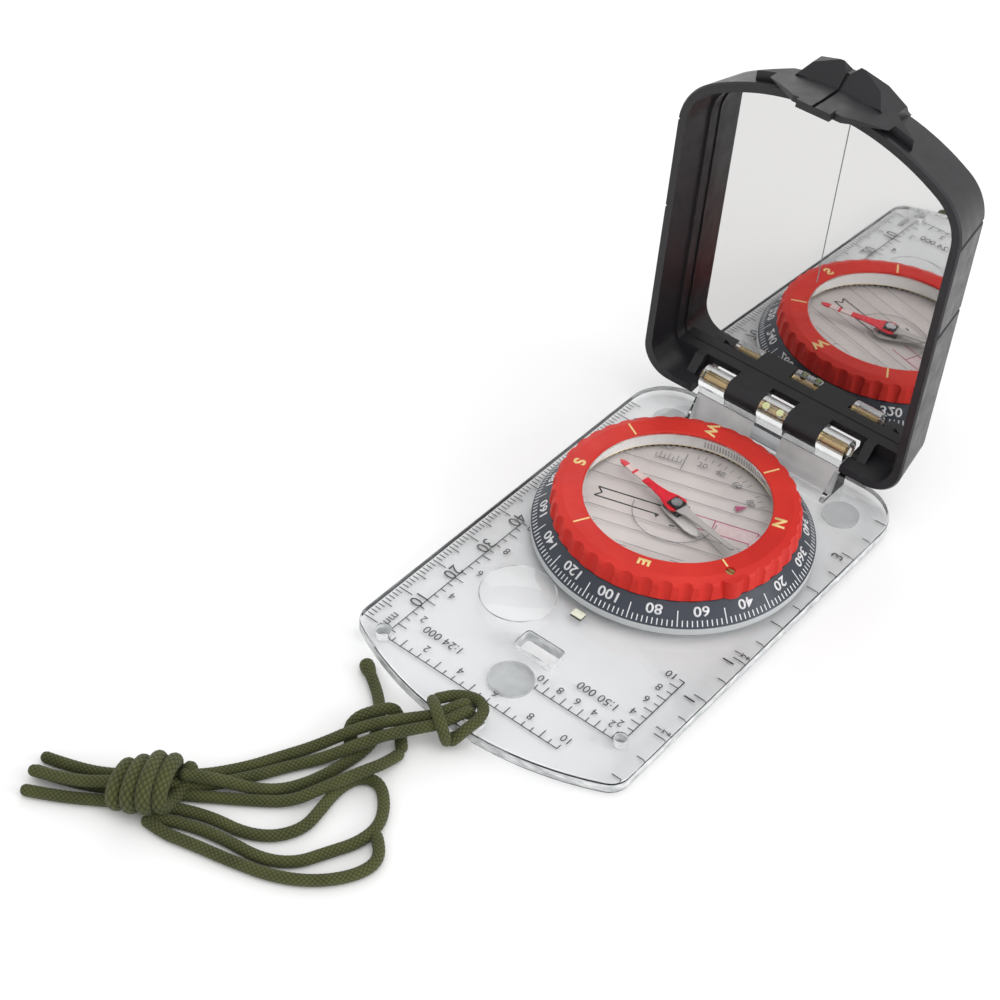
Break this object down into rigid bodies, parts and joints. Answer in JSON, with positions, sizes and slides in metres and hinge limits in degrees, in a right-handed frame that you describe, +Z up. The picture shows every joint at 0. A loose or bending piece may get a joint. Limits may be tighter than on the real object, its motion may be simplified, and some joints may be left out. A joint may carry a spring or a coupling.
{
  "type": "mirror sighting compass",
  "caption": "Clear baseplate compass with a hinged mirror cover, turning degree dial, liquid capsule with needle and clinometer, and a cord lanyard.",
  "frame": {"origin": "ground point under the rubber feet, on the centreline of the baseplate, midway between the near end of the plate and the back of the opened cover", "axes": "+Y along the baseplate from the lanyard end to the cover hinge, +X across to the inch ruler side, +Z up"},
  "size_m": [0.0824, 0.1754, 0.0932],
  "materials": {
    "clear_acrylic": "clear gloss",
    "clear_rubber": "clear satin",
    "luminous": "pale luminous",
    "brass_pin": "polished",
    "black_plastic": "fine satin",
    "mirror_glass": "polished",
    "foam_pad": "matt",
    "dial_black": "satin",
    "black_rubber": "matt",
    "red_rubber": "satin",
    "silver_ring": "satin",
    "steel": "polished",
    "needle_red": "satin",
    "magnet_black": "satin",
    "cord_green": "braided"
  },
  "bodies": {
    "base": {"base_plate": "clear_acrylic", "near_rubber_foot": "clear_rubber", "far_rubber_feet": "clear_rubber", "luminous_index_mark": "luminous", "hinge_pin": "brass_pin", "hinge_luminous_beads": "luminous", "lanyard_hitch": "cord_green", "lanyard_gather_fold": "cord_green", "lanyard_wrap_knot": "cord_green", "lanyard_strand_a": "cord_green", "lanyard_strand_b": "cord_green", "lanyard_strand_c": "cord_green", "lanyard_strand_d": "cord_green", "lanyard_strand_e": "cord_green", "lanyard_strand_f": "cord_green"},
    "cover": {"cover_shell": "black_plastic", "sighting_mirror": "mirror_glass", "mirror_adhesive_pad": "foam_pad"},
    "dial": {"degree_dial": "dial_black", "dial_retaining_ring": "clear_acrylic", "dial_friction_ring": "black_rubber", "bezel_grip_ring": "red_rubber", "capsule_cup": "clear_acrylic", "capsule_window": "clear_acrylic", "capsule_inner_ring": "silver_ring", "pivot_post": "steel"},
    "orienting_disc": {"orienting_disc": "clear_acrylic"},
    "declination_screw": {"declination_screw": "brass_pin"},
    "clinometer": {"clinometer_pointer": "clear_acrylic"},
    "needle": {"compass_needle": "needle_red", "needle_magnet": "magnet_black", "needle_jewel_cap": "steel"}
  },
  "joints": [
    {"name": "cover_hinge", "type": "hinge", "parent": "base", "child": "cover", "pos_m": [0, 0.0452, 0.0128], "axis": [-1, 0, 0], "range_deg": [-92, 88]},
    {"name": "dial_turn", "type": "hinge", "parent": "base", "child": "dial", "pos_m": [0, 0.0105, 0.0036], "axis": [0, 0, 1], "continuous": true},
    {"name": "declination_screw_turn", "type": "hinge", "parent": "dial", "child": "declination_screw", "pos_m": [0.01973, 0.0001, 0.0071], "axis": [0, 0, 1], "range_deg": [-1350, 1350]},
    {"name": "orienting_disc_turn", "type": "hinge", "parent": "dial", "child": "orienting_disc", "pos_m": [0, 0.0105, 0.0071], "axis": [0, 0, 1], "range_deg": [-90, 90]},
    {"name": "needle_turn", "type": "hinge", "parent": "dial", "child": "needle", "pos_m": [0, 0.0105, 0.01], "axis": [0, 0, 1], "continuous": true},
    {"name": "clinometer_swing", "type": "hinge", "parent": "dial", "child": "clinometer", "pos_m": [0, 0.0105, 0.0091], "axis": [0, 0, 1], "continuous": true}
  ],
  "couplings": [
    {"joint": "declination_screw_turn", "follows": "orienting_disc_turn", "ratio": -15}
  ]
}
